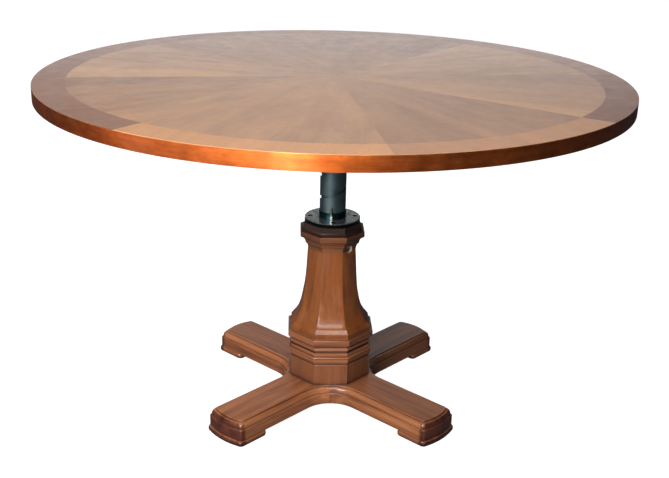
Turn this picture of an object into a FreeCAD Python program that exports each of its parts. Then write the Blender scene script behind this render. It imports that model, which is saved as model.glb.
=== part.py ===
import FreeCAD, Part
import math
import os

# Round pedestal table, 48 in across, on a screw that raises and lowers the top.
# Millimetres, +Z up. The origin is on the floor, under the middle of the column.
# The front is -Y. The screw is modelled fully raised and the top level.

V = FreeCAD.Vector
UP = V(0, 0, 1)
ORIGIN = V(0, 0, 0)

# ---- table top
TOP_RADIUS = 609.6
TOP_FACE_Z = 730.0
TOP_THICK = 28.6
TOP_UNDER_Z = TOP_FACE_Z - TOP_THICK
VENEER = 0.9
EDGE_WIDTH = 12.0
BORDER_WIDTH = 63.5
SEGMENTS = 8
SEAM_ANGLE = 6.3                      # first seam, degrees round from +X

# ---- lift screw
SHAFT_R = 28.575
SHAFT_BORE_R = 18.0
SHAFT_FOOT_Z = 310.0
SHAFT_PLUG = 25.0                     # solid stretch above the shaft's foot
THREAD_LEAD = 50.8
THREAD_TURNS = 4.25
GROOVE_WIDTH = 6.5
GROOVE_DEPTH = 3.0
GROOVE_RUNOUT = 15.0                  # extra groove at each end, degrees
FOLLOWER_ANGLE = 262.0
FOLLOWER_Z = 426.8
RUNNING = 0.075                       # radial clearance of a running fit
FREE = 0.3                            # radial clearance of a loose fit

# ---- tilting head under the top
BLOCK_HALF_X = 120.0
BLOCK_BACK_Y = 125.0
BLOCK_Z0 = 670.9
TOP_GAP = 0.5
BLOCK_Z1 = TOP_UNDER_Z - TOP_GAP
HINGE_Y = -210.0
HINGE_Z = TOP_UNDER_Z - 15.0
HINGE_PIN_R = 6.0
HINGE_PIN_BITE = 30.0                 # length of pin inside the block
HEAD_PLATE_R = 60.0
HEAD_PLATE_T = 6.0
HEAD_BOLTS = 6
HEAD_BOLT_CIRCLE = 45.0
BEARER_GAP = 1.0
BEARER_T = 30.0
BEARER_HALF_LENGTH = 440.0
BEARER_DEPTH = 35.0
BEARER_SCREW_Y = (-380.0, -290.0, -100.0, 60.0, 220.0, 380.0)

# ---- catch that holds the top level
CATCH_Z = 689.0
CATCH_BOLT_R = 4.5
CATCH_FRONT_Y = 130.0
CATCH_LENGTH = 52.0
CATCH_HALF_X = 17.0
CATCH_THROW = 14.0
KNOB_Y = 164.0
KEEP_T = 2.0
KEEP_HALF_X = 18.0

# ---- octagonal column: apothem (face distance from the axis) and height
SIDES = 8
HALF_SIDE = 180.0 / SIDES
COLUMN_Z0 = 54.0
COLUMN_Z1 = 413.8
STAVE_INNER = 34.0
PLINTH_CORE = 78.0
PLINTH_FACE = 88.5
NECK = 51.5
FLARE = ((81.0, 184.0), (74.5, 193.0), (69.5, 204.0), (64.0, 227.0),
         (58.7, 257.0), (54.3, 308.0), (NECK, 355.0))
LIP_Z0 = 166.5
LIP = 88.0
MOULDING_Z = (54.0, 103.0, 130.5, LIP_Z0)
CAP_MOULDING_Z0 = 355.0
CAP_BLOCK_Z0 = 396.3
CAP_BLOCK = 60.5

# ---- steel parts of the column
TUBE_R = 32.2
TUBE_INNER_R = 29.2
TUBE_FOOT_T = 4.0
FLANGE_R = 60.4
FLANGE_Z1 = 422.6
COLLAR_R = 29.6
COLLAR_Z1 = 436.8
FLANGE_SCREW_CIRCLE = 48.6
SHOE_Z = (294.3, 309.7)
KEY_HALF = 2.7
SHOE_BOLT_R = 6.2
SHOE_BOLT_Z0 = 290.0

# ---- lock screw in the right-front face of the column
LOCK_ANGLE = -45.0
LOCK_Z = 358.5
LOCK_BUSH_R = 9.6
LOCK_R = 5.0
LOCK_COUNTERBORE_R = 8.4
LOCK_HEAD = (38.0, 42.0)              # head of the screw, distance from the axis

# ---- cross-shaped base
LEG_HALF_WIDTH = 51.0
LEG_CORNER_R = 69.0                   # hollow corner between two legs
LEG_SHOULDER = 321.0                  # distance from the axis to the end's corners
LEG_APEX = 327.0                      # and to the middle of its bowed end
LEG_END_R = 8.0                       # rounding of the end's corners
LEG_Z0 = 13.0
QUIRK_Z = 38.0
QUIRK = 2.5
OVOLO_INSET = 8.0
OVOLO_Z = 51.0
LEG_TOP_INSET = 9.5
PAD_INNER = 247.0
PAD_APEX = 330.5
PAD_HALF_WIDTH = 53.5
PAD_CORNER_R = 9.0
PAD_SCREW_X = (270.0, 305.0)
BASE_PLATE_R = 80.0
BASE_PLATE_T = 5.0
TIE_CIRCLE = 22.0
STAVE_BOLT_CIRCLE = 56.0
LEG_ANGLES = {"front_right": -45.0, "back_right": 45.0,
              "back_left": 135.0, "front_left": 225.0}

NODES = {}


# ---------------------------------------------------------------- helpers
def box(x0, x1, y0, y1, z0, z1):
    return Part.makeBox(x1 - x0, y1 - y0, z1 - z0, V(x0, y0, z0))


def disc(radius, z0, z1, x=0.0, y=0.0):
    return Part.makeCylinder(radius, z1 - z0, V(x, y, z0), UP)


def ring(outer, inner, z0, z1):
    return disc(outer, z0, z1).cut(disc(inner, z0, z1))


def rod_y(radius, y0, y1, x=0.0, z=0.0):
    return Part.makeCylinder(radius, y1 - y0, V(x, y0, z), V(0, 1, 0))


def rod_x(radius, x0, x1, y=0.0, z=0.0):
    return Part.makeCylinder(radius, x1 - x0, V(x0, y, z), V(1, 0, 0))


def turned(shape, degrees):
    """A copy of shape turned about the column's axis."""
    copy = shape.copy()
    copy.rotate(ORIGIN, UP, degrees)
    return copy


def moved(shape, x, y, z):
    copy = shape.copy()
    copy.translate(V(x, y, z))
    return copy


def around(radius, angles, z=0.0):
    """Points on a circle about the column's axis, angles in degrees."""
    return [V(radius * math.cos(math.radians(a)), radius * math.sin(math.radians(a)), z)
            for a in angles]


def wire_of(points, place):
    """Closed wire through points; a pair of points is an arc's middle and its end."""
    edges = []
    last = place(*points[0])
    for step in points[1:]:
        if isinstance(step[0], tuple):
            middle, end = place(*step[0]), place(*step[1])
            edges.append(Part.Arc(last, middle, end).toShape())
        else:
            end = place(*step)
            edges.append(Part.LineSegment(last, end).toShape())
        last = end
    edges.append(Part.LineSegment(last, place(*points[0])).toShape())
    return Part.Wire(edges)


def cut_all(shape, tools):
    for tool in tools:
        shape = shape.cut(tool)
    return shape


def countersunk(shank_r, head_r, length, slack=0.0):
    """Countersunk screw along +Z: head flat at z 0, point up. slack widens it to a hole."""
    head = Part.makeCone(head_r + slack, shank_r + slack, head_r - shank_r)
    shank = Part.makeCylinder(shank_r + slack, length)
    return head.fuse(shank).removeSplitter()


def slotted_screw(shank_r, head_r, length):
    """Countersunk screw along +Z with a driver's slot across its head."""
    slot = box(-head_r, head_r, -head_r * 0.14, head_r * 0.14, 0, head_r * 0.35)
    return countersunk(shank_r, head_r, length).cut(slot)


def flipped(shape):
    """The same piece pointing down."""
    copy = shape.copy()
    copy.rotate(ORIGIN, V(1, 0, 0), 180)
    return copy


def placed_at(shape, points):
    return [moved(shape, p.x, p.y, p.z) for p in points]


def add(name, *solids):
    """Keep one node: every solid in it is a separate closed piece."""
    flat = []
    for shape in solids:
        flat.extend(shape.Solids)
    for solid in flat:
        if not solid.isValid():
            raise ValueError(name + " has a solid that is not valid")
    NODES[name] = flat[0] if len(flat) == 1 else Part.makeCompound(flat)


# ---------------------------------------------------------------- cross base
def leg_outline(inset, z):
    """Plan of one leg along +X, drawn in by inset, with its quarter of the centre."""
    half = LEG_HALF_WIDTH - inset
    centre = LEG_HALF_WIDTH + LEG_CORNER_R
    radius = LEG_CORNER_R + inset
    apex = centre - radius * math.sqrt(0.5)
    mid_x = centre - radius * math.sin(math.radians(22.5))
    mid_y = centre - radius * math.cos(math.radians(22.5))
    shoulder = LEG_SHOULDER - inset
    bend = LEG_END_R * (1 - math.sqrt(0.5))
    return wire_of([(0, 0), (apex, -apex),
                    ((mid_x, -mid_y), (centre, -half)),
                    (shoulder - LEG_END_R, -half),
                    ((shoulder - bend, bend - half), (shoulder, LEG_END_R - half)),
                    ((LEG_APEX - inset, 0), (shoulder, half - LEG_END_R)),
                    ((shoulder - bend, half - bend), (shoulder - LEG_END_R, half)),
                    (centre, half),
                    ((mid_x, mid_y), (apex, apex))],
                   lambda x, y: V(x, y, z))


def pad_outline(inset, z):
    """Plan of one foot pad along +X."""
    half = PAD_HALF_WIDTH - inset
    inner = PAD_INNER + inset
    shoulder = PAD_APEX - (LEG_APEX - LEG_SHOULDER) - inset
    radius = PAD_CORNER_R
    bend = radius * (1 - math.sqrt(0.5))
    return wire_of([(inner, -half + radius),
                    ((inner + bend, -half + bend), (inner + radius, -half)),
                    (shoulder - radius, -half),
                    ((shoulder - bend, bend - half), (shoulder, radius - half)),
                    ((PAD_APEX - inset, 0), (shoulder, half - radius)),
                    ((shoulder - bend, half - bend), (shoulder - radius, half)),
                    (inner + radius, half),
                    ((inner + bend, half - bend), (inner, half - radius))],
                   lambda x, y: V(x, y, z))


def stacked(outline, levels):
    """One solid through (inset, z) levels; two levels at one height make a ledge."""
    slabs = []
    for (inset_a, za), (inset_b, zb) in zip(levels, levels[1:]):
        if zb > za:
            wires = [outline(inset_a, za), outline(inset_b, zb)]
            slabs.append(Part.makeLoft(wires, True, True))
    return slabs[0].multiFuse(slabs[1:]).removeSplitter()


def leg_levels():
    """Square side, quirk, quarter-round, then a small riser to the flat top."""
    start = QUIRK_Z + 1.5
    levels = [(0, LEG_Z0), (0, QUIRK_Z - 1), (0.8, QUIRK_Z), (QUIRK, QUIRK_Z), (QUIRK, start)]
    steps = 5
    for i in range(1, steps + 1):
        turn = math.radians(90.0 * i / steps)
        inset = QUIRK + (OVOLO_INSET - QUIRK) * (1 - math.cos(turn))
        levels.append((inset, start + (OVOLO_Z - start) * math.sin(turn)))
    levels += [(LEG_TOP_INSET, OVOLO_Z), (LEG_TOP_INSET, COLUMN_Z0 - 0.8)]
    levels.append((LEG_TOP_INSET + 0.8, COLUMN_Z0))
    return levels


PAD_SCREW = (2.2, 5.0, 27.0)
PAD_SCREW_Z = 3.0
TIE_BOLT = (3.0, 5.8, 50.0)
STAVE_BOLT = (3.0, 6.0, 84.0)
SPLINE_X = (40.0, 92.0)
SPLINE_HALF_T = 4.0
SPLINE_Z = (20.0, 46.0)


def pad_screw_points():
    return [V(x, 0, PAD_SCREW_Z) for x in PAD_SCREW_X]


def make_base():
    legs = stacked(leg_outline, leg_levels())
    pad = stacked(pad_outline, [(2.5, 0), (0.8, 1.5), (0, 4.5), (0, 8.5), (1.0, 11.5), (3.2, LEG_Z0)])
    corners = [45, 135, 225, 315]
    tie_holes = placed_at(disc(TIE_BOLT[0] + 0.1, 0, COLUMN_Z0), around(TIE_CIRCLE, corners))
    stave_holes = placed_at(disc(STAVE_BOLT[0], 0, COLUMN_Z0), around(STAVE_BOLT_CIRCLE, corners))
    spline = box(SPLINE_X[0], SPLINE_X[1], -SPLINE_HALF_T, SPLINE_HALF_T, *SPLINE_Z)
    splines = [turned(spline, a) for a in (0, 90, 180, 270)]
    recess = [disc(PAD_SCREW[1] + 0.2, 0, PAD_SCREW_Z, p.x, p.y) for p in pad_screw_points()]
    pad_holes = placed_at(countersunk(*PAD_SCREW, slack=0.02), pad_screw_points())
    pad_screws = placed_at(slotted_screw(*PAD_SCREW), pad_screw_points())
    pad = cut_all(pad, recess + pad_holes)
    leg = cut_all(legs, pad_holes)
    screws = []
    for name, angle in LEG_ANGLES.items():
        add("leg_" + name, cut_all(turned(leg, angle), tie_holes + stave_holes + splines))
        add("foot_pad_" + name, turned(pad, angle))
        screws.extend(turned(s, angle) for s in pad_screws)
    add("pad_screws", *screws)
    add("leg_splines", *splines)

    plate = disc(BASE_PLATE_R, LEG_Z0 - BASE_PLATE_T, LEG_Z0)
    add("base_plate", cut_all(plate, tie_holes + stave_holes))
    foot_top = COLUMN_Z0 + TUBE_FOOT_T
    tie = flipped(slotted_screw(*TIE_BOLT))
    ties = placed_at(tie, around(TIE_CIRCLE, corners, foot_top))
    nut = hexagon_nut(5.0, TIE_BOLT[0], 5.0)
    nuts = placed_at(nut, around(TIE_CIRCLE, corners, LEG_Z0 - BASE_PLATE_T - 5.0))
    add("tie_bolts_and_nuts", *ties, *nuts)
    bolt = hexagon_bolt(5.0, 4.0, STAVE_BOLT[0], STAVE_BOLT[2])
    add("stave_bolts", *placed_at(bolt, around(STAVE_BOLT_CIRCLE, corners, LEG_Z0 - BASE_PLATE_T)))


def hexagon(across_flats_half, z0, z1):
    corner = across_flats_half / math.cos(math.radians(30))
    points = around(corner, [60 * i for i in range(6)], z0)
    return Part.Face(Part.makePolygon(points + [points[0]])).extrude(V(0, 0, z1 - z0))


def hexagon_nut(half, bore, height):
    return hexagon(half, 0, height).cut(disc(bore, 0, height))


def hexagon_bolt(half, head, shank_r, length):
    """Bolt along +Z from z 0, head below."""
    return hexagon(half, -head, 0).fuse(disc(shank_r, 0, length)).removeSplitter()


# ---------------------------------------------------------------- octagonal column
def face_strip(face, depth=200.0):
    """One side of the octagon: face in the XZ plane drawn out sideways and mitred."""
    slab = face.extrude(V(0, 2 * depth, 0))
    slab.translate(V(0, -depth, 0))
    reach = depth * math.tan(math.radians(HALF_SIDE))
    points = [V(0, 0, 0), V(depth, -reach, 0), V(depth, reach, 0), V(0, 0, 0)]
    wedge = Part.Face(Part.makePolygon(points)).extrude(V(0, 0, TOP_FACE_Z))
    return slab.common(wedge)


def on_side(a, z):
    return V(a, 0, z)


def sides(strip):
    return [turned(strip, 360.0 * i / SIDES) for i in range(SIDES)]


def stave_face():
    """Section of a stave: straight at the plinth, a sweeping flare, straight at the neck."""
    outline = [(STAVE_INNER, COLUMN_Z0), (PLINTH_CORE, COLUMN_Z0), (PLINTH_CORE, LIP_Z0),
               (LIP, LIP_Z0), (LIP, LIP_Z0 + 8), (LIP - 1.5, LIP_Z0 + 9.5), FLARE[0]]
    lower = [Part.LineSegment(on_side(*a), on_side(*b)).toShape()
             for a, b in zip(outline, outline[1:])]
    sweep = Part.BSplineCurve()
    sweep.interpolate([on_side(*p) for p in FLARE])
    upper_points = [FLARE[-1], (NECK, COLUMN_Z1), (STAVE_INNER, COLUMN_Z1), outline[0]]
    upper = [Part.LineSegment(on_side(*a), on_side(*b)).toShape()
             for a, b in zip(upper_points, upper_points[1:])]
    return Part.Face(Part.Wire(lower + [sweep.toShape()] + upper))


def moulding(points):
    return face_strip(Part.Face(wire_of(points, on_side)))


def plinth_block():
    """Flat panel with a rounded top edge."""
    z0, z1 = MOULDING_Z[0], MOULDING_Z[1]
    a = PLINTH_FACE
    return moulding([(PLINTH_CORE, z0), (a, z0), (a, z1 - 3), ((a - 0.8, z1 - 0.9), (a - 2.8, z1)),
                     (PLINTH_CORE, z1)])


def plinth_moulding():
    """Quirk, hollow, square ledge with a bead on its edge, then a plain band."""
    z0, z1 = MOULDING_Z[1], MOULDING_Z[2]
    return moulding([(PLINTH_CORE, z0), (86.0, z0), (86.0, z0 + 2.5), (87.5, z0 + 3),
                     ((88.3, z0 + 5.8), (90.5, z0 + 7.5)), (90.5, z0 + 13.5), (90.0, z0 + 14),
                     (90.0, z0 + 15), (91.5, z0 + 15.5), (91.8, z0 + 16.5),
                     ((90.6, z0 + 18.6), (87.6, z0 + 19.6)), (87.6, z1 - 0.9), (86.8, z1),
                     (PLINTH_CORE, z1)])


def waist_moulding():
    """Deep groove, band weathered out to an arris, quirk, then the upper ledge."""
    z0, z1 = MOULDING_Z[2], MOULDING_Z[3]
    return moulding([(PLINTH_CORE, z0), (83.5, z0), (83.5, z0 + 6.5), (88.4, z0 + 6.9),
                     (88.9, z0 + 7.8), (87.2, z0 + 11), (86.6, z0 + 14.1), (85.6, z0 + 14.1),
                     (85.6, z0 + 15.7), (86.6, z0 + 15.9), (86.6, z0 + 19.5), (93.4, z0 + 19.9),
                     (94.6, z0 + 21.1), (94.6, z0 + 30), ((93.9, z0 + 33.1), (91.5, z0 + 34.4)),
                     (88.6, z0 + 34.9), (LIP, z1), (PLINTH_CORE, z1)])


def cap_moulding():
    """Hollow, fillet and quarter-round out to a plain square edge."""
    z0, z1 = CAP_MOULDING_Z0, CAP_BLOCK_Z0
    return moulding([(NECK, z0), (NECK + 0.4, z0), ((53.2, z0 + 6.5), (57.0, z0 + 13.3)),
                     (58.6, z0 + 13.8), (58.8, z0 + 16.8), ((61.0, z0 + 22.6), (66.2, z0 + 27.2)),
                     (67.6, z0 + 27.6), ((69.3, z0 + 29.0), (69.8, z0 + 31.2)), (69.6, z1 - 0.9),
                     (68.8, z1), (NECK, z1)])


def cap_block():
    """Square-edged block over a small hollow."""
    z0, z1 = CAP_BLOCK_Z0, COLUMN_Z1
    a = CAP_BLOCK
    return moulding([(NECK, z0), (a + 6.0, z0), (a + 5.8, z0 + 0.8), ((a + 1.8, z0 + 2.4), (a, z0 + 6)),
                     (a, z1 - 0.8), (a - 0.8, z1), (NECK, z1)])


FLANGE_SCREW = (2.6, 5.4, 45.0)
COMPASS = (0, 90, 180, 270)


def along_lock(radius, near, far):
    """Cylinder along the lock screw's axis, between two distances from the column's axis."""
    return turned(rod_x(radius, near, far, z=LOCK_Z), LOCK_ANGLE)


def make_column():
    stave = face_strip(stave_face())
    screw_points = around(FLANGE_SCREW_CIRCLE, COMPASS, FLANGE_Z1)
    flange_holes = placed_at(flipped(countersunk(*FLANGE_SCREW, slack=0.02)), screw_points)
    bolt_r, length = STAVE_BOLT[0], STAVE_BOLT[2]
    bolt_holes = placed_at(disc(bolt_r, 0, LEG_Z0 - BASE_PLATE_T + length),
                           around(STAVE_BOLT_CIRCLE, [45, 135, 225, 315]))
    bush_hole = along_lock(LOCK_BUSH_R, STAVE_INNER - 1, PLINTH_CORE)
    for number, side in enumerate(sides(stave), start=1):
        add("column_stave_%d" % number, cut_all(side, flange_holes + bolt_holes + [bush_hole]))
    add("plinth_panels", *sides(plinth_block()))
    add("plinth_mouldings", *sides(plinth_moulding()))
    add("waist_mouldings", *sides(waist_moulding()))
    add("cap_mouldings", *[side.cut(bush_hole) for side in sides(cap_moulding())])
    add("cap_blocks", *sides(cap_block()))

    screws = placed_at(flipped(slotted_screw(*FLANGE_SCREW)), screw_points)
    add("flange_screws", *screws)
    make_flange(flange_holes)
    make_guide_tube()
    make_lock()


def make_flange(holes):
    """Round plate on the cap, with a collar pressed into it that guides the shaft."""
    rim = 1.0
    plate = disc(FLANGE_R, COLUMN_Z1, FLANGE_Z1 - rim)
    plate = plate.fuse(moved(Part.makeCone(FLANGE_R, FLANGE_R - rim, rim), 0, 0, FLANGE_Z1 - rim))
    plate = plate.removeSplitter().cut(disc(COLLAR_R, COLUMN_Z1, FLANGE_Z1))
    add("flange", cut_all(plate, holes))
    collar = ring(COLLAR_R, SHAFT_R + RUNNING, COLUMN_Z1, COLLAR_Z1)
    add("collar", collar.cut(follower_pin()))
    add("collar_key", follower_key())


FOLLOWER_PIN_R = 2.7
FOLLOWER_TIP = 26.2                   # clears the bottom of the groove
KEY_FACE = 34.0
KEY_TOP_Z = 450.0


def follower_pin():
    pin = rod_x(FOLLOWER_PIN_R, FOLLOWER_TIP, COLLAR_R, z=FOLLOWER_Z)
    return turned(pin, FOLLOWER_ANGLE)


def follower_key():
    """Tapered finger against the collar, with the pin that runs in the shaft's groove."""
    outline = [(-2.4, FLANGE_Z1), (2.4, FLANGE_Z1), (2.2, COLLAR_Z1 - 1), (0.7, KEY_TOP_Z),
               (-0.7, KEY_TOP_Z), (-2.2, COLLAR_Z1 - 1)]
    face = Part.Face(wire_of(outline, lambda y, z: V(COLLAR_R, y, z)))
    finger = turned(face.extrude(V(KEY_FACE - COLLAR_R, 0, 0)), FOLLOWER_ANGLE)
    return finger.fuse(follower_pin()).removeSplitter()


def make_guide_tube():
    """Steel tube inside the staves, closed by a foot plate and slotted for the shoe's key."""
    foot_z = COLUMN_Z0 + TUBE_FOOT_T
    tube = ring(TUBE_R, TUBE_INNER_R, foot_z, COLUMN_Z1)
    foot = disc(TUBE_R, COLUMN_Z0, foot_z)
    tube = tube.fuse(foot).removeSplitter()
    slot = box(-KEY_HALF - FREE, KEY_HALF + FREE, 0, TUBE_R + 1, foot_z + 2, SHOE_Z[1] + 2)
    holes = placed_at(flipped(countersunk(*TIE_BOLT, slack=0.02)),
                      around(TIE_CIRCLE, [45, 135, 225, 315], foot_z))
    lock_hole = along_lock(LOCK_R + RUNNING, 0, TUBE_R + 1)
    add("guide_tube", cut_all(tube, [slot, lock_hole] + holes))


def make_lock():
    """Brass bush in the stave and the slotted screw that bears on the shaft."""
    shoulder = LOCK_HEAD[0] - 0.3
    bush = along_lock(LOCK_BUSH_R, STAVE_INNER, NECK - 0.1)
    bore = along_lock(LOCK_R + RUNNING, 0, PLINTH_CORE)
    mouth = along_lock(LOCK_COUNTERBORE_R, shoulder, PLINTH_CORE)
    add("lock_bush", cut_all(bush, [bore, mouth]))
    shank = along_lock(LOCK_R, SHAFT_R + FREE + 0.1, LOCK_HEAD[0])
    head = along_lock(LOCK_COUNTERBORE_R - FREE, *LOCK_HEAD)
    slot = turned(box(LOCK_HEAD[1] - 1.8, LOCK_HEAD[1], -10, 10, LOCK_Z - 0.9, LOCK_Z + 0.9), LOCK_ANGLE)
    add("lock_screw", shank.fuse(head).removeSplitter().cut(slot))


# ---------------------------------------------------------------- lift screw
def groove_angle_span():
    return THREAD_TURNS * 360.0 + 2 * GROOVE_RUNOUT


def groove():
    """Square groove wound round the shaft: one right-hand start."""
    start = FOLLOWER_ANGLE - GROOVE_RUNOUT
    start_z = FOLLOWER_Z - THREAD_LEAD * GROOVE_RUNOUT / 360.0
    height = THREAD_LEAD * groove_angle_span() / 360.0
    helix = Part.makeHelix(THREAD_LEAD, height, SHAFT_R)
    inner, outer, half = SHAFT_R - GROOVE_DEPTH, SHAFT_R + GROOVE_DEPTH, GROOVE_WIDTH / 2
    section = wire_of([(inner, -half), (outer, -half), (outer, half), (inner, half)], on_side)
    cutter = Part.Wire(helix.Edges).makePipeShell([section], True, True)
    return moved(turned(cutter, start), 0, 0, start_z)


def make_screw():
    bore_z = SHAFT_FOOT_Z + SHAFT_PLUG
    shaft = disc(SHAFT_R, SHAFT_FOOT_Z, BLOCK_Z0).cut(disc(SHAFT_BORE_R, bore_z, BLOCK_Z0))
    shaft = shaft.cut(disc(5.0, SHAFT_FOOT_Z, bore_z - 3)).cut(groove())
    add("screw_shaft", shaft)

    bolt = disc(11.0, SHOE_BOLT_Z0, SHOE_BOLT_Z0 + 4)
    bolt = bolt.fuse(disc(SHOE_BOLT_R, SHOE_BOLT_Z0 + 4, SHAFT_FOOT_Z))
    bolt = bolt.fuse(disc(5.0, SHAFT_FOOT_Z, bore_z - 4)).removeSplitter()
    add("shoe_bolt", bolt)

    shoe = disc(TUBE_INNER_R - RUNNING, *SHOE_Z)
    key = box(-KEY_HALF, KEY_HALF, TUBE_INNER_R - 6, TUBE_R - FREE, *SHOE_Z)
    add("guide_shoe", shoe.fuse(key).removeSplitter().cut(disc(SHOE_BOLT_R + RUNNING, *SHOE_Z)))


# ---------------------------------------------------------------- tilting head
HEAD_BOLT = (3.5, 7.0, 24.0)
KEEP_SCREW = (1.6, 3.2, 14.0)
BEARER_SCREW = (2.6, 5.4, 52.0)
CATCH_SCREW = (1.8, 3.6, 15.0)


def keep_holes_at_x():
    return (-12.0, 12.0)


def toward_front(shape, x, y, z):
    """A screw drawn along +Z, laid over to point at the front."""
    copy = shape.copy()
    copy.rotate(ORIGIN, V(1, 0, 0), 90)
    return moved(copy, x, y, z)


def make_head():
    plate_z1 = BLOCK_Z0 + HEAD_PLATE_T
    bolt_angles = [30 + 360.0 * i / HEAD_BOLTS for i in range(HEAD_BOLTS)]
    bolt_points = around(HEAD_BOLT_CIRCLE, bolt_angles, BLOCK_Z0)
    bolt_holes = placed_at(countersunk(*HEAD_BOLT, slack=0.02), bolt_points)
    plate = disc(HEAD_PLATE_R, BLOCK_Z0, plate_z1)
    plate = plate.fuse(disc(SHAFT_BORE_R, BLOCK_Z0 - 20, BLOCK_Z0)).removeSplitter()
    add("head_plate", cut_all(plate, bolt_holes))
    add("head_bolts", *placed_at(slotted_screw(*HEAD_BOLT), bolt_points))

    nose = BLOCK_Z1 - HINGE_Z
    bend = nose * math.sqrt(0.5)
    outline = [(BLOCK_BACK_Y, BLOCK_Z0), (HINGE_Y - nose, BLOCK_Z0), (HINGE_Y - nose, HINGE_Z),
               ((HINGE_Y - bend, HINGE_Z + bend), (HINGE_Y, BLOCK_Z1)), (BLOCK_BACK_Y, BLOCK_Z1)]
    side = Part.Face(wire_of(outline, lambda y, z: V(-BLOCK_HALF_X, y, z)))
    block = side.extrude(V(2 * BLOCK_HALF_X, 0, 0))
    pins = [rod_x(HINGE_PIN_R, BLOCK_HALF_X - HINGE_PIN_BITE, pin_end(), HINGE_Y, HINGE_Z)]
    pins.append(rod_x(HINGE_PIN_R, -pin_end(), HINGE_PIN_BITE - BLOCK_HALF_X, HINGE_Y, HINGE_Z))
    bolt_pocket = rod_y(CATCH_BOLT_R + 0.5, BLOCK_BACK_Y - 16, BLOCK_BACK_Y, z=CATCH_Z)
    keep_y = BLOCK_BACK_Y + KEEP_T
    keep_bores = [toward_front(countersunk(*KEEP_SCREW, slack=0.02), x, keep_y, CATCH_Z)
                  for x in keep_holes_at_x()]
    recess = disc(HEAD_PLATE_R, BLOCK_Z0, plate_z1)
    add("tilt_block", cut_all(block, [recess, bolt_pocket] + pins + bolt_holes + keep_bores))
    add("hinge_pins", *pins)

    keep = box(-KEEP_HALF_X, KEEP_HALF_X, BLOCK_BACK_Y, keep_y, CATCH_Z - 10, CATCH_Z + 10)
    add("catch_keep", cut_all(keep, keep_bores + [rod_y(CATCH_BOLT_R + 0.5, 0, keep_y, z=CATCH_Z)]))
    add("keep_screws", *[toward_front(slotted_screw(*KEEP_SCREW), x, keep_y, CATCH_Z)
                         for x in keep_holes_at_x()])


def pin_end():
    return BLOCK_HALF_X + BEARER_GAP + BEARER_T


def bearer_screw_points():
    centre = BLOCK_HALF_X + BEARER_GAP + BEARER_T / 2
    z = TOP_UNDER_Z - BEARER_DEPTH
    points = []
    for y in BEARER_SCREW_Y:
        lift = max(0.0, (abs(y) - BEARER_HALF_LENGTH + 80.0) * 0.3)
        points.append((V(-centre, y, z + lift), V(centre, y, z + lift)))
    return points


def bearer():
    """Wooden rail under the top, its ends thinned, bored for the hinge pin."""
    z0 = TOP_UNDER_Z - BEARER_DEPTH
    end, taper, rise = BEARER_HALF_LENGTH, 80.0, 24.0
    outline = [(-end, TOP_UNDER_Z), (-end, z0 + rise), (taper - end, z0), (end - taper, z0),
               (end, z0 + rise), (end, TOP_UNDER_Z)]
    x0 = BLOCK_HALF_X + BEARER_GAP
    side = Part.Face(wire_of(outline, lambda y, z: V(x0, y, z)))
    rail = side.extrude(V(BEARER_T, 0, 0))
    return rail.cut(rod_x(HINGE_PIN_R + 0.05, 0, pin_end(), HINGE_Y, HINGE_Z))


# ---------------------------------------------------------------- table top
def sector(outer, inner, index, z0, z1):
    """One of the equal segments of the veneered face."""
    step = 360.0 / SEGMENTS
    a0 = SEAM_ANGLE + step * index
    a1 = a0 + step
    far = around(outer, [a0, a0 + step / 2, a1], z0)
    edges = [Part.Arc(*far).toShape()]
    if inner > 0:
        near = around(inner, [a1, a0 + step / 2, a0], z0)
        edges.append(Part.LineSegment(far[2], near[0]).toShape())
        edges.append(Part.Arc(*near).toShape())
        edges.append(Part.LineSegment(near[2], far[0]).toShape())
    else:
        edges.append(Part.LineSegment(far[2], V(0, 0, z0)).toShape())
        edges.append(Part.LineSegment(V(0, 0, z0), far[0]).toShape())
    return Part.Face(Part.Wire(edges)).extrude(V(0, 0, z1 - z0))


def make_top():
    veneer_z = TOP_FACE_Z - VENEER
    core_r = TOP_RADIUS - EDGE_WIDTH
    border_r = TOP_RADIUS - BORDER_WIDTH
    pilot = disc(BEARER_SCREW[0] + 0.02, 0, BEARER_SCREW[2])
    hole = countersunk(*BEARER_SCREW, slack=0.02)
    pairs = bearer_screw_points()
    pilots = [moved(pilot, p.x, p.y, p.z) for pair in pairs for p in pair]
    catch_pilots = placed_at(disc(CATCH_SCREW[0] + 0.02, 0, CATCH_SCREW[2]), catch_screw_points())
    backing_z = TOP_UNDER_Z + VENEER
    core = disc(core_r, backing_z, veneer_z)
    add("top_core", cut_all(core, pilots + catch_pilots))
    add("backing_veneer", cut_all(disc(core_r, TOP_UNDER_Z, backing_z), pilots + catch_pilots))
    add("edge_band", ring(TOP_RADIUS, core_r, TOP_UNDER_Z, veneer_z))
    for i in range(SEGMENTS):
        add("face_veneer_%d" % (i + 1), sector(border_r, 0, i, veneer_z, TOP_FACE_Z))
    add("border_veneers", *[sector(TOP_RADIUS, border_r, i, veneer_z, TOP_FACE_Z)
                            for i in range(SEGMENTS)])
    rail = bearer()
    screw = slotted_screw(*BEARER_SCREW)
    for name, mirror, which in (("left", True, 0), ("right", False, 1)):
        body = rail.mirror(ORIGIN, V(1, 0, 0)) if mirror else rail
        add("bearer_" + name, cut_all(body, [moved(hole, p[which].x, p[which].y, p[which].z)
                                             for p in pairs]))
    add("bearer_screws", *[moved(screw, p.x, p.y, p.z) for pair in pairs for p in pair])
    make_catch()


def catch_screw_points():
    z = TOP_UNDER_Z - 3.0
    return [V(x, y, z) for x in (-CATCH_HALF_X - 6, CATCH_HALF_X + 6)
            for y in (CATCH_FRONT_Y + 10, CATCH_FRONT_Y + CATCH_LENGTH - 10)]


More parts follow.
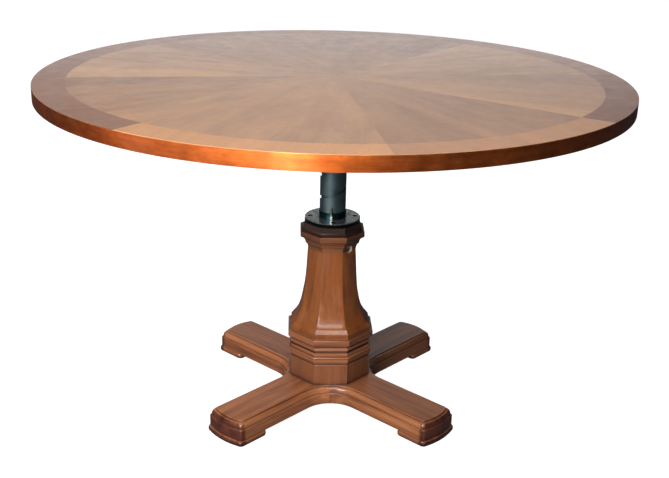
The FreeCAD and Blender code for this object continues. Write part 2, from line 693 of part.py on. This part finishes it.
def make_catch():
    """Brass barrel bolt under the top, drawn with the bolt back."""
    y0, y1 = CATCH_FRONT_Y, CATCH_FRONT_Y + CATCH_LENGTH
    body = box(-CATCH_HALF_X + 5, CATCH_HALF_X - 5, y0, y1, CATCH_Z - 8, TOP_UNDER_Z)
    ears = box(-CATCH_HALF_X - 12, CATCH_HALF_X + 12, y0, y1, TOP_UNDER_Z - 3, TOP_UNDER_Z)
    case = body.fuse(ears).removeSplitter()
    bore = rod_y(CATCH_BOLT_R + 0.05, y0, y1 - 3, z=CATCH_Z)
    slot = box(-2.9, 2.9, KNOB_Y - CATCH_THROW - 3, KNOB_Y + 3, CATCH_Z - 8, CATCH_Z)
    holes = placed_at(countersunk(*CATCH_SCREW, slack=0.02), catch_screw_points())
    add("catch_case", cut_all(case, [bore, slot] + holes))
    add("catch_screws", *placed_at(slotted_screw(*CATCH_SCREW), catch_screw_points()))
    bolt = rod_y(CATCH_BOLT_R, y0 + 0.5, y1 - 5, z=CATCH_Z)
    stem = disc(2.5, CATCH_Z - 12, CATCH_Z, 0, KNOB_Y)
    knob = disc(6.5, CATCH_Z - 20, CATCH_Z - 10, 0, KNOB_Y)
    add("catch_bolt", bolt.fuse(stem).fuse(knob).removeSplitter())


make_base()
make_column()
make_screw()
make_head()
make_top()

os.makedirs("parts", exist_ok=True)
for node, shape in NODES.items():
    shape.exportStep("parts/" + node + ".step")
print(len(NODES), "nodes,", sum(len(s.Solids) for s in NODES.values()), "solids")
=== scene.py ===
import bpy
import math
from mathutils import Matrix, Vector

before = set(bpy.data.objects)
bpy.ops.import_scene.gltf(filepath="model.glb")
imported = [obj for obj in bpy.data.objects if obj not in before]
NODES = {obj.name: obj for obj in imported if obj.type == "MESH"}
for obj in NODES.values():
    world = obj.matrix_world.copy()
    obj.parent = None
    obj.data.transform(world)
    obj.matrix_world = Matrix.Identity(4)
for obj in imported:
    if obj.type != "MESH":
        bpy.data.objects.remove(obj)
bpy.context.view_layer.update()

SIDES = 8                               # of the column, and wedges of the top
TOP_SEAM = math.radians(6.3)            # first seam of the top, round from +X
FIRST_WEDGE = TOP_SEAM + math.pi / SIDES    # the middle of the first wedge


# ---------------------------------------------------------------- node helpers
class Shader:
    """A small wrapper that adds and links nodes of one material."""

    def __init__(self, name):
        self.material = bpy.data.materials.new(name)
        self.material.use_nodes = True
        self.tree = self.material.node_tree
        self.tree.nodes.clear()
        self.out = self.tree.nodes.new("ShaderNodeOutputMaterial")
        self.bsdf = self.tree.nodes.new("ShaderNodeBsdfPrincipled")
        self.link(self.bsdf.outputs["BSDF"], self.out.inputs["Surface"])

    def node(self, kind, **settings):
        made = self.tree.nodes.new(kind)
        for key, value in settings.items():
            setattr(made, key, value)
        return made

    def link(self, source, target):
        self.tree.links.new(source, target)

    def feed(self, socket, value):
        """Set a socket to a number, a colour or another node's output."""
        if isinstance(value, bpy.types.NodeSocket):
            self.link(value, socket)
        else:
            socket.default_value = value

    def math(self, operation, a, b=0.0, c=0.0):
        made = self.node("ShaderNodeMath", operation=operation)
        for socket, value in zip(made.inputs, (a, b, c)):
            self.feed(socket, value)
        return made.outputs[0]

    def vector_math(self, operation, a, b=(0, 0, 0)):
        made = self.node("ShaderNodeVectorMath", operation=operation)
        self.feed(made.inputs[0], a)
        self.feed(made.inputs[1], b)
        return made.outputs[0]

    def split(self, vector):
        made = self.node("ShaderNodeSeparateXYZ")
        self.link(vector, made.inputs[0])
        return made.outputs

    def join(self, x, y, z):
        made = self.node("ShaderNodeCombineXYZ")
        for socket, value in zip(made.inputs, (x, y, z)):
            self.feed(socket, value)
        return made.outputs[0]

    def position(self):
        """The point in the row frame, fixed to the piece."""
        return self.node("ShaderNodeTexCoord").outputs["Object"]

    def noise(self, vector, scale, detail=3.0, roughness=0.5, distortion=0.0):
        made = self.node("ShaderNodeTexNoise")
        self.feed(made.inputs["Vector"], vector)
        made.inputs["Scale"].default_value = scale
        made.inputs["Detail"].default_value = detail
        made.inputs["Roughness"].default_value = roughness
        made.inputs["Distortion"].default_value = distortion
        return made.outputs["Fac"]

    def random_vector(self, value):
        """Three steady random numbers for each whole number."""
        made = self.node("ShaderNodeTexWhiteNoise", noise_dimensions="1D")
        self.feed(made.inputs["W"], value)
        return made.outputs["Color"]

    def ramp(self, factor, stops):
        made = self.node("ShaderNodeValToRGB")
        elements = made.color_ramp.elements
        while len(elements) < len(stops):
            elements.new(0.5)
        for element, (place, value) in zip(elements, stops):
            element.position = place
            element.color = (value, value, value, 1) if isinstance(value, float) else (*value, 1)
        self.feed(made.inputs[0], factor)
        return made.outputs[0]

    def mix(self, factor, a, b, blend="MIX"):
        made = self.node("ShaderNodeMix", data_type="RGBA", blend_type=blend)
        self.feed(made.inputs[0], factor)
        for socket, value in ((made.inputs[6], a), (made.inputs[7], b)):
            if isinstance(value, tuple) and len(value) == 3:
                value = (*value, 1)
            self.feed(socket, value)
        return made.outputs[2]

    def lerp(self, factor, a, b):
        made = self.node("ShaderNodeMix", data_type="FLOAT")
        self.feed(made.inputs[0], factor)
        self.feed(made.inputs[2], a)
        self.feed(made.inputs[3], b)
        return made.outputs[0]

    def choose(self, number, values):
        """The value that belongs to a whole number from 0 up."""
        count = float(len(values))
        place = self.math("DIVIDE", self.math("ADD", number, 0.5), count)
        picked = self.ramp(place, [(i / count, float(value)) for i, value in enumerate(values)])
        picked.node.color_ramp.interpolation = "CONSTANT"
        return picked

    def remap(self, value, low, high, to_low=0.0, to_high=1.0):
        made = self.node("ShaderNodeMapRange", clamp=True)
        for socket, number in zip(made.inputs, (value, low, high, to_low, to_high)):
            self.feed(socket, number)
        return made.outputs[0]

    def bump(self, height, strength, distance):
        made = self.node("ShaderNodeBump")
        made.inputs["Strength"].default_value = strength
        made.inputs["Distance"].default_value = distance
        self.feed(made.inputs["Height"], height)
        return made.outputs[0]

    def crease(self, distance):
        """1 on open surfaces, falling to 0 in grooves and inner corners."""
        made = self.node("ShaderNodeAmbientOcclusion", samples=8, only_local=False)
        made.inputs["Distance"].default_value = distance
        return made.outputs["AO"]


def numbered(prefix):
    """The names of eight like pieces."""
    return [prefix + "_%d" % (i + 1) for i in range(SIDES)]


def leg_names():
    """The legs and the pads under them, without the hidden splines."""
    return [n for n in NODES if n.startswith(("leg_", "foot_pad_")) and n != "leg_splines"]


def put(shader, *names):
    """Gives the named pieces one material."""
    for name in names:
        mesh = NODES[name].data
        mesh.materials.clear()
        mesh.materials.append(shader.material)


# ---------------------------------------------------------------- coordinates for wood
def turn_by_sector(s, offset, sectors=SIDES):
    """The point turned into its own sector of the circle, and the number of that sector."""
    point = s.position()
    step = 2 * math.pi / sectors
    x, y = s.split(point)[:2]
    angle = s.math("SUBTRACT", s.math("ARCTAN2", y, x), offset)
    number = s.math("ROUND", s.math("DIVIDE", angle, step))
    wrapped = s.math("FLOORED_MODULO", number, float(sectors))
    turn = s.math("ADD", s.math("MULTIPLY", number, step), offset)
    made = s.node("ShaderNodeVectorRotate", rotation_type="Z_AXIS")
    s.feed(made.inputs["Vector"], point)
    s.feed(made.inputs["Angle"], s.math("MULTIPLY", turn, -1.0))
    return made.outputs[0], wrapped


def distance_from_axis(s, x, y):
    """How far the point is from the table's upright axis."""
    return s.math("SQRT", s.math("ADD", s.math("MULTIPLY", x, x), s.math("MULTIPLY", y, y)))


def reorder(s, vector, order):
    """The same vector with its axes named in another order, such as "ZYX"."""
    parts = s.split(vector)
    return s.join(*[parts["XYZ".index(letter)] for letter in order])


def shift_each(s, vector, number, seed, amount=3.0):
    """Moves the figure to a different place in the log for each numbered board."""
    jump = s.random_vector(s.math("ADD", number, float(seed)))
    scaled = s.vector_math("SCALE", jump)
    scaled.node.inputs["Scale"].default_value = amount
    return s.vector_math("ADD", vector, scaled)


# ---------------------------------------------------------------- wood
BROAD_SHADE_REACH = 0.045                     # how far the broad painted shade reaches out of the corners


def figure(s, grain, ring_scale=1.0, streak=1.0):
    """Streaks of a board whose grain runs along X: 0 is a dark line, 1 is light early wood."""
    stretched = s.vector_math("MULTIPLY", grain, (1.3, 15.0, 15.0))
    wander = s.noise(stretched, 1.0, 2.0, 0.5)
    x, y, z = s.split(grain)
    across = s.math("ADD", y, s.math("MULTIPLY", s.math("SUBTRACT", wander, 0.5), 0.05 * ring_scale))
    depth = s.math("ADD", z, s.math("MULTIPLY", s.math("SUBTRACT", wander, 0.5), 0.03))
    broad = s.noise(s.join(s.math("MULTIPLY", x, 2.2), s.math("MULTIPLY", across, 42.0 * streak),
                           s.math("MULTIPLY", depth, 42.0 * streak)), 1.0, 3.0, 0.6)
    fine = s.noise(s.join(s.math("MULTIPLY", x, 9.0), s.math("MULTIPLY", across, 210.0 * streak),
                          s.math("MULTIPLY", depth, 210.0 * streak)), 1.0, 3.0, 0.65)
    lines = s.math("ADD", s.math("MULTIPLY", broad, 0.62), s.math("MULTIPLY", fine, 0.38))
    return lines, fine


def pores(s, grain):
    """Short dark open pores drawn out along the grain."""
    field = s.noise(s.vector_math("MULTIPLY", grain, (70.0, 1500.0, 1500.0)), 1.0, 2.0, 0.5)
    return s.remap(field, 0.60, 0.72)


def finish_wood(s, colour, fine, pore, roughness=0.36, coat=0.5, coat_roughness=0.12,
                crease_colour=(0.016, 0.006, 0.004), crease=0.92, crease_distance=0.011, glaze=0.0,
                grain_bump=0.3):
    """Lacquered wood: pores, painted shade in creases, a broader painted shade in sheltered places,
    slight ripple.
    """
    colour = s.mix(s.math("MULTIPLY", pore, 0.35), colour, crease_colour)
    # painted shade: grooves and inner corners darkened by ambient occlusion
    if crease > 0:
        open_surface = s.crease(crease_distance)
        painted_crease_shade = s.remap(open_surface, 0.40, 0.90, crease, 0.0)
        colour = s.mix(painted_crease_shade, colour, crease_colour)
    # broader painted shade in sheltered places, from a longer ambient occlusion reach
    if glaze > 0:
        broad_painted_shade = s.remap(s.crease(BROAD_SHADE_REACH), 0.35, 0.95, glaze, 0.0)
        colour = s.mix(broad_painted_shade, colour, tuple(3.0 * part for part in crease_colour))
    s.feed(s.bsdf.inputs["Base Color"], colour)
    smear = s.noise(s.position(), 28.0, 4.0, 0.6)
    s.feed(s.bsdf.inputs["Roughness"], s.remap(smear, 0.3, 0.7, roughness - 0.07, roughness + 0.09))
    s.bsdf.inputs["Coat Weight"].default_value = coat
    s.bsdf.inputs["Coat Roughness"].default_value = coat_roughness
    s.bsdf.inputs["Coat IOR"].default_value = 1.5
    height = s.math("SUBTRACT", s.math("MULTIPLY", fine, 0.5), pore)
    s.feed(s.bsdf.inputs["Normal"], s.bump(height, grain_bump, 0.0004))


def solid_wood(name, grain_of, dark, mid, light, seed, contrast=1.0, tones=(0.9,), **finish):
    """Solid boards; grain_of(shader) gives the board's own coordinates and its number."""
    s = Shader(name)
    grain, number = grain_of(s)
    grain = shift_each(s, grain, number, seed)
    lines, fine = figure(s, grain)
    spread = 0.2 / contrast
    colour = s.ramp(lines, [(0.5 - spread, dark), (0.5, mid), (0.5 + spread, light)])
    colour = s.mix(1.0, colour, s.choose(number, tones), "MULTIPLY")
    finish_wood(s, colour, fine, pores(s, grain), **finish)
    return s


def upright_side(s):
    """Grain up the column, a new board on each face of the octagon."""
    local, number = turn_by_sector(s, 0.0)
    return reorder(s, local, "ZYX"), number


def sideways_side(s):
    """Grain along each mitred length of moulding."""
    local, number = turn_by_sector(s, 0.0)
    return reorder(s, local, "YXZ"), number


def along_leg(s):
    """Grain along each of the four legs."""
    return turn_by_sector(s, math.pi / 4, 4)


def along_y(s):
    """Grain across the table from front to back, one board."""
    return reorder(s, s.position(), "YXZ"), 0.0


# dark, middle and light streaks of each wood
WALNUT = ((0.120, 0.041, 0.020), (0.350, 0.122, 0.050), (0.510, 0.205, 0.086))
STAVE = ((0.130, 0.036, 0.010), (0.310, 0.090, 0.020), (0.430, 0.145, 0.035))
BEECH = ((0.30, 0.19, 0.10), (0.44, 0.30, 0.17), (0.55, 0.39, 0.23))
BACKING = ((0.24, 0.14, 0.08), (0.33, 0.21, 0.12), (0.40, 0.26, 0.16))
EDGE_WOOD = ((0.34, 0.076, 0.015), (0.47, 0.110, 0.023), (0.60, 0.160, 0.036))
DARK_CAP = ((0.018, 0.008, 0.006), (0.030, 0.012, 0.007), (0.055, 0.021, 0.010))
CAP_TOP_DARK = DARK_CAP[0]
LEG_TONES = (0.62, 1.02, 1.08, 0.83)    # back right, back left, front left, front right
SIDE_TONES = (0.80, 0.80, 0.85, 0.80, 0.85, 0.76, 0.95, 0.78)    # octagon sides round from +X
PANEL_TONES = [0.71 * tone for tone in SIDE_TONES]
CAP_TONES = (0.45, 0.45, 0.50, 0.45, 0.50, 0.36, 0.66, 0.32)
END_GRAIN = (0.26, 0.19, 0.24)
END_BLEND = 0.008                       # the end stain fades in over this length
LEG_END = 0.317                         # the bowed ends of the legs start here
CAP_LEDGE_Z = 0.3958                    # from here up the cap is coloured dark


def stain_leg(s):
    """Darker stain on the end grain, where the surface faces along the leg."""
    normal = s.node("ShaderNodeTexCoord").outputs["Normal"]
    across, along = s.split(s.vector_math("ABSOLUTE", normal))[:2]
    diagonal = s.math("MULTIPLY", s.math("ADD", across, along), math.sqrt(0.5))
    x, y = s.split(s.position())[:2]
    at_end = s.remap(distance_from_axis(s, x, y), LEG_END - END_BLEND, LEG_END)
    facing = s.math("MULTIPLY", s.remap(diagonal, 0.45, 0.80), at_end)
    socket = s.bsdf.inputs["Base Color"]
    s.feed(socket, s.mix(facing, socket.links[0].from_socket, END_GRAIN, "MULTIPLY"))


def darken_above(s, height):
    """Dark colour on everything above a height."""
    z = s.split(s.position())[2]
    socket = s.bsdf.inputs["Base Color"]
    plain = socket.links[0].from_socket
    s.feed(socket, s.mix(s.math("GREATER_THAN", z, height), plain, CAP_TOP_DARK))


def make_base_wood():
    # each wood below gets painted shade in its creases and sheltered places
    legs = solid_wood("walnut_legs", along_leg, *WALNUT, 11, contrast=1.2, tones=LEG_TONES, glaze=0.35)
    stain_leg(legs)
    put(legs, *leg_names())
    column = solid_wood("walnut_staves", upright_side, *STAVE, 23, contrast=0.7, tones=SIDE_TONES,
                        coat_roughness=0.2, glaze=0.6)
    put(column, *numbered("column_stave"))
    panels = solid_wood("walnut_panels", upright_side, *WALNUT, 37, contrast=0.7, tones=PANEL_TONES,
                        glaze=0.6)
    put(panels, "plinth_panels")
    trim = solid_wood("walnut_mouldings", sideways_side, *WALNUT, 41, tones=SIDE_TONES, glaze=0.5)
    put(trim, "plinth_mouldings", "waist_mouldings")
    cap = solid_wood("walnut_cap", sideways_side, *WALNUT, 43, tones=CAP_TONES, glaze=0.5)
    darken_above(cap, CAP_LEDGE_Z)
    put(cap, "cap_mouldings")
    band = solid_wood("walnut_cap_block", sideways_side, *DARK_CAP, 53, coat=0.0, roughness=0.55)
    put(band, "cap_blocks")


# ---------------------------------------------------------------- table top veneers
FACE_DARK = (0.155, 0.058, 0.032)
FACE_MID = (0.410, 0.211, 0.108)
FACE_LIGHT = (0.710, 0.366, 0.146)
FACE_TONE_START = (0.34, 0.24, 0.24, 0.34, 0.30, 0.56, 0.42, 0.62)    # each wedge, at its first seam
FACE_TONE_END = (0.46, 0.20, 0.30, 0.66, 0.58, 0.54, 0.30, 0.22)      # and at the seam that ends it
FACE_FLECKS = (0.8, 0.1, 0.2, 1.0, 0.4, 0.1, 0.2, 0.8)
BORDER_TONE = (0.18, 0.13, 0.12, 0.16, 0.20, 0.84, 0.58, 0.06)
BORDER_TINT = (1.00, 0.90, 0.84)
MIDDLE_TONE = 0.43                      # all wedges fade to this towards the centre
FLECK_COLOUR = (0.16, 0.07, 0.04)
FAN_RADIUS = 0.55                       # where the fanned figure has its full width
RIM_RADIUS = 0.61
EDGE_METALLIC = 0.93                    # gives the lacquered edge its tinted glow
TOP_LACQUER = {"roughness": 0.38, "coat": 0.5, "coat_roughness": 0.20, "crease": 0.0,
               "grain_bump": 0.12}


def veneer_colour(s, tone):
    """From dark to light as the tone goes from 0 to 1."""
    return s.ramp(tone, [(0.0, FACE_DARK), (0.5, FACE_MID), (1.0, FACE_LIGHT)])


def make_face_veneer():
    """Eight matched wedges; the figure fans out from the centre, one side lighter than the other."""
    s = Shader("face_veneer")
    local, number = turn_by_sector(s, FIRST_WEDGE)
    x, y, z = s.split(local)
    spread = s.math("ADD", 0.4, s.math("MULTIPLY", x, 0.6 / FAN_RADIUS))
    fan = s.math("DIVIDE", y, spread)
    grain = shift_each(s, s.join(x, fan, z), number, 71)
    lines, fine = figure(s, grain, 1.6, 0.55)
    cloud = s.noise(s.vector_math("MULTIPLY", grain, (5.0, 16.0, 16.0)), 1.0, 3.0, 0.55, 0.6)
    across = s.math("DIVIDE", y, s.math("MAXIMUM", x, 0.01))
    side = s.remap(s.math("ADD", across, s.remap(cloud, 0.3, 0.7, -0.12, 0.12)), -0.42, 0.42)
    tone = s.lerp(side, s.choose(number, FACE_TONE_START), s.choose(number, FACE_TONE_END))
    tone = s.math("ADD", tone, s.remap(x, 0.10, 0.34, 0.06, 0.0))
    tone = s.math("ADD", tone, s.remap(lines, 0.3, 0.7, -0.15, 0.15))
    tone = s.lerp(s.remap(x, 0.03, 0.35, 0.35, 1.0), MIDDLE_TONE, tone)
    tone = s.math("ADD", tone, s.remap(cloud, 0.3, 0.7, -0.10, 0.10))
    fleck_field = s.noise(s.vector_math("MULTIPLY", grain, (24.0, 80.0, 80.0)), 1.0, 2.0, 0.6)
    fleck = s.remap(fleck_field, 0.66, 0.76, 0.0, 0.55)
    fleck = s.math("MULTIPLY", fleck, s.choose(number, FACE_FLECKS))
    colour = s.mix(fleck, veneer_colour(s, tone), FLECK_COLOUR)
    finish_wood(s, colour, fine, pores(s, grain), **TOP_LACQUER)
    put(s, *numbered("face_veneer"))


def make_border_veneer():
    """Crossbanding: the grain of each of the eight segments runs across the band."""
    s = Shader("border_veneer")
    local, number = turn_by_sector(s, FIRST_WEDGE)
    grain = shift_each(s, local, number, 91)
    lines, fine = figure(s, grain, 1.0, 0.8)
    tone = s.math("ADD", s.choose(number, BORDER_TONE), s.remap(lines, 0.3, 0.7, -0.10, 0.10))
    colour = s.mix(1.0, veneer_colour(s, tone), BORDER_TINT, "MULTIPLY")
    finish_wood(s, colour, fine, pores(s, grain), **TOP_LACQUER)
    put(s, "border_veneers")


def make_edge():
    """Solid lipping, its grain running round the rim."""
    s = Shader("edge_wood")
    x, y, z = s.split(s.position())
    round_rim = s.math("MULTIPLY", s.math("ARCTAN2", y, x), RIM_RADIUS)
    grain = s.join(round_rim, distance_from_axis(s, x, y), z)
    lines, fine = figure(s, grain)
    colour = s.ramp(lines, list(zip((0.30, 0.50, 0.70), EDGE_WOOD)))
    shaded = s.mix(1.0, colour, (0.72, 0.66, 0.62), "MULTIPLY")
    mottle = s.noise(s.vector_math("MULTIPLY", grain, (1.0, 2.0, 2.0)), 42.0, 3.0, 0.6)
    colour = s.mix(s.remap(mottle, 0.35, 0.65), shaded, colour)
    finish_wood(s, colour, fine, pores(s, grain), roughness=0.41, coat=0.3, coat_roughness=0.25,
                crease=0.0)
    s.bsdf.inputs["Metallic"].default_value = EDGE_METALLIC
    put(s, "edge_band")


def make_hidden_wood():
    beech = solid_wood("beech", along_y, *BEECH, 61, roughness=0.5, coat=0.1,
                       crease_colour=(0.10, 0.06, 0.03))
    put(beech, "leg_splines", "tilt_block", "bearer_left", "bearer_right")
    backing = solid_wood("backing", along_y, *BACKING, 67, roughness=0.55, coat=0.0,
                         crease_colour=(0.08, 0.05, 0.03))
    put(backing, "backing_veneer", "top_core")


# ---------------------------------------------------------------- metals
FLANGE_RIM_Z = 0.4214                   # the flange is black below this
FLANGE_BLACK = (0.012, 0.014, 0.015)
METAL_CREASE = 0.006                    # reach of the painted shade in corners


def metal(name, colour, roughness, scratch=0.12, crease_shade_colour=(0.03, 0.028, 0.025), crease_shade_amount=0.5,
          brushed=(1.0, 1.0, 1.0), metallic=1.0):
    """Worn metal: fine scratches, uneven polish, painted shade in the corners."""
    s = Shader(name)
    fine = s.noise(s.vector_math("MULTIPLY", s.position(), brushed), 900.0, 3.0, 0.6)
    cloudy = s.noise(s.position(), 60.0, 4.0, 0.6)
    shade = s.ramp(s.math("ADD", s.math("MULTIPLY", fine, 0.4), s.math("MULTIPLY", cloudy, 0.6)),
                   [(0.3, tuple(c * 0.72 for c in colour)), (0.7, colour)])
    # painted shade: corners darkened by ambient occlusion
    painted_crease_shade = s.remap(s.crease(METAL_CREASE), 0.4, 0.95, crease_shade_amount, 0.0)
    s.feed(s.bsdf.inputs["Base Color"], s.mix(painted_crease_shade, shade, crease_shade_colour))
    s.bsdf.inputs["Metallic"].default_value = metallic
    s.feed(s.bsdf.inputs["Roughness"], s.remap(cloudy, 0.3, 0.7, roughness - scratch / 2,
                                               roughness + scratch))
    s.feed(s.bsdf.inputs["Normal"], s.bump(fine, 0.15, 0.0002))
    return s


def make_flange():
    """Turned steel plate: bright on top and on the broken edge, black round the side."""
    plate = metal("flange_steel", (0.62, 0.69, 0.71), 0.19, scratch=0.05, metallic=0.88)
    z = plate.split(plate.position())[2]
    socket = plate.bsdf.inputs["Base Color"]
    bright = socket.links[0].from_socket
    side = plate.math("LESS_THAN", z, FLANGE_RIM_Z)
    plate.feed(socket, plate.mix(side, bright, FLANGE_BLACK))
    put(plate, "flange")


def make_metals():
    make_flange()
    put(metal("gunmetal", (0.185, 0.260, 0.280), 0.47, brushed=(1, 1, 12)), "screw_shaft", "head_plate")
    put(metal("black_steel", (0.010, 0.038, 0.052), 0.40), "collar")
    put(metal("polished_steel", (0.40, 0.42, 0.38), 0.28), "collar_key")
    put(metal("steel", (0.42, 0.42, 0.42), 0.35), "pad_screws", "base_plate", "tie_bolts_and_nuts",
        "stave_bolts", "guide_tube", "shoe_bolt", "head_bolts", "hinge_pins", "bearer_screws")
    put(metal("dark_screws", (0.02, 0.02, 0.02), 0.5), "flange_screws")
    put(metal("brass", (0.80, 0.60, 0.28), 0.28, crease_shade_colour=(0.09, 0.05, 0.02)), "lock_screw",
        "catch_keep", "keep_screws", "catch_case", "catch_screws", "catch_bolt")
    put(metal("polished_brass", (1.0, 0.92, 0.72), 0.38, crease_shade_amount=0.0, metallic=0.35), "lock_bush")
    nylon = metal("nylon", (0.80, 0.78, 0.70), 0.5, crease_shade_colour=(0.3, 0.27, 0.2), metallic=0.0)
    put(nylon, "guide_shoe")


# ---------------------------------------------------------------- edges
LEG_ARRIS = 0.0012
STAVE_ARRIS = 0.0008
TRIM_ARRIS = 0.0007


def soften(width, *names):
    """Rounds the sharp arrises of the wood so they catch the light."""
    for name in names:
        piece = NODES[name]
        weld = piece.modifiers.new("weld", "WELD")
        weld.merge_threshold = 0.00002
        bevel = piece.modifiers.new("arris", "BEVEL")
        bevel.width = width
        bevel.segments = 2
        bevel.limit_method = "ANGLE"
        bevel.angle_limit = math.radians(25.0)


def soften_wood():
    soften(LEG_ARRIS, *leg_names())
    soften(STAVE_ARRIS, *numbered("column_stave"))
    soften(TRIM_ARRIS, "cap_blocks", "cap_mouldings", "waist_mouldings", "plinth_mouldings",
           "plinth_panels")


# ---------------------------------------------------------------- studio
SKY_STRENGTH = (0.10, 0.02)             # at the left and at the right
SKY_FADE = (-0.5, 0.6)                  # sideways direction where the fade starts and ends
FLOOR_HALF = 40.0
FLOOR_GLOW = 0.97                       # only the camera sees this
FLOOR_SEEN = (0.36, 0.36, 0.36)         # the floor's colour to the camera, on top of the glow
FLOOR_BOUNCE = (0.27, 0.265, 0.26)      # and to the light that it throws back
FLOOR_MIRRORED = (0.085, 0.10, 0.12)    # and to reflections in the object


def make_floor():
    """A pale floor, brighter to the camera than the light it throws back on the object."""
    mesh = bpy.data.meshes.new("studio_floor")
    signs = ((-1, -1), (1, -1), (1, 1), (-1, 1))
    corners = [(x * FLOOR_HALF, y * FLOOR_HALF, 0) for x, y in signs]
    mesh.from_pydata(corners, [], [(0, 1, 2, 3)])
    floor = bpy.data.objects.new("studio_floor", mesh)
    bpy.context.scene.collection.objects.link(floor)
    s = Shader("studio_floor")
    path = s.node("ShaderNodeLightPath")
    seen = path.outputs["Is Camera Ray"]
    thrown_back = s.mix(path.outputs["Is Glossy Ray"], FLOOR_BOUNCE, FLOOR_MIRRORED)
    s.feed(s.bsdf.inputs["Base Color"], s.mix(seen, thrown_back, FLOOR_SEEN))
    s.bsdf.inputs["Emission Color"].default_value = (1, 1, 1, 1)
    s.feed(s.bsdf.inputs["Emission Strength"], s.math("MULTIPLY", seen, FLOOR_GLOW))
    s.bsdf.inputs["Roughness"].default_value = 0.9
    s.bsdf.inputs["Specular IOR Level"].default_value = 0.0
    mesh.materials.append(s.material)


def area_light(name, azimuth, elevation, distance, aim_z, size, energy, colour=(1, 1, 1), spread=180):
    """A rectangle of light aimed at the object's axis; angles in degrees."""
    data = bpy.data.lights.new(name, "AREA")
    data.shape = "RECTANGLE"
    data.size, data.size_y = size
    data.energy = energy
    data.color = colour
    data.spread = math.radians(spread)
    light = bpy.data.objects.new(name, data)
    around, up = math.radians(azimuth), math.radians(elevation)
    ray = Vector((math.cos(around) * math.cos(up), math.sin(around) * math.cos(up), math.sin(up)))
    place = Vector((0, 0, aim_z)) + ray * distance
    turn = (-ray).to_track_quat("-Z", "Y").to_matrix().to_4x4()
    light.matrix_world = Matrix.Translation(place) @ turn
    light.visible_camera = False
    bpy.context.scene.collection.objects.link(light)


def make_world():
    """Dim sky that fades from left to right; the camera sees plain white instead."""
    world = bpy.data.worlds.new("studio")
    world.use_nodes = True
    nodes, links = world.node_tree.nodes, world.node_tree.links
    background = nodes["Background"]
    background.inputs["Color"].default_value = (0.92, 0.96, 1, 1)
    direction = nodes.new("ShaderNodeTexCoord")
    sideways = nodes.new("ShaderNodeSeparateXYZ")
    links.new(direction.outputs["Generated"], sideways.inputs[0])
    fade = nodes.new("ShaderNodeMapRange")
    for socket, value in zip(list(fade.inputs)[1:5], SKY_FADE + SKY_STRENGTH):
        socket.default_value = value
    links.new(sideways.outputs["X"], fade.inputs["Value"])
    links.new(fade.outputs["Result"], background.inputs["Strength"])
    seen = nodes.new("ShaderNodeBackground")
    seen.inputs["Strength"].default_value = 1.0
    seen.inputs["Color"].default_value = (1, 1, 1, 1)
    path = nodes.new("ShaderNodeLightPath")
    blend = nodes.new("ShaderNodeMixShader")
    links.new(path.outputs["Is Camera Ray"], blend.inputs[0])
    links.new(background.outputs[0], blend.inputs[1])
    links.new(seen.outputs[0], blend.inputs[2])
    links.new(blend.outputs[0], nodes["World Output"].inputs["Surface"])
    bpy.context.scene.world = world


def make_lights():
    area_light("key", 239, 19, 4.0, 0.35, (1.6, 1.2), 160, (1.0, 0.97, 0.93))
    area_light("overhead", 120, 75, 2.6, 0.7, (2.4, 2.4), 30)
    area_light("back_fill", 80, 50, 4.0, 0.4, (2.5, 2.0), 38)
    area_light("back_wall", 90, 7, 4.5, 0.7, (4.6, 0.65), 13)
    area_light("front_top", 264, 38, 3.0, 0.4, (1.6, 0.9), 36)
    area_light("kicker", 252.5, -17, 2.0, 0.945, (0.8, 0.15), 0.31, (1.0, 0.78, 0.32), spread=18)
    area_light("rim_left", 194, -17, 2.0, 0.945, (1.3, 0.3), 0.13, (1.0, 0.62, 0.34), spread=18)


# ---------------------------------------------------------------- camera
CAMERA_PLACE = Vector((-0.0895, -2.0957, 1.1436))
CAMERA_PITCH = math.radians(20.762)
CAMERA_YAW = math.radians(2.818)
CAMERA_ROLL = math.radians(-1.465)
SENSOR = 36.0
LENS = 54.56
SHIFT = (-0.00517, 0.01263)


def make_camera():
    data = bpy.data.cameras.new("camera")
    data.sensor_width = SENSOR
    data.lens = LENS
    data.shift_x, data.shift_y = SHIFT
    ahead = Vector((math.sin(CAMERA_YAW) * math.cos(CAMERA_PITCH),
                    math.cos(CAMERA_YAW) * math.cos(CAMERA_PITCH), -math.sin(CAMERA_PITCH)))
    right = ahead.cross(Vector((0, 0, 1))).normalized()
    up = right.cross(ahead)
    rolled_right = right * math.cos(CAMERA_ROLL) - up * math.sin(CAMERA_ROLL)
    rolled_up = right * math.sin(CAMERA_ROLL) + up * math.cos(CAMERA_ROLL)
    turn = Matrix((rolled_right, rolled_up, -ahead)).transposed().to_4x4()
    camera = bpy.data.objects.new("camera", data)
    camera.matrix_world = Matrix.Translation(CAMERA_PLACE) @ turn
    bpy.context.scene.collection.objects.link(camera)
    bpy.context.scene.camera = camera


make_base_wood()
make_face_veneer()
make_border_veneer()
make_edge()
make_hidden_wood()
make_metals()
soften_wood()
make_floor()
make_world()
make_lights()
make_camera()
bpy.context.scene.view_settings.view_transform = "Standard"
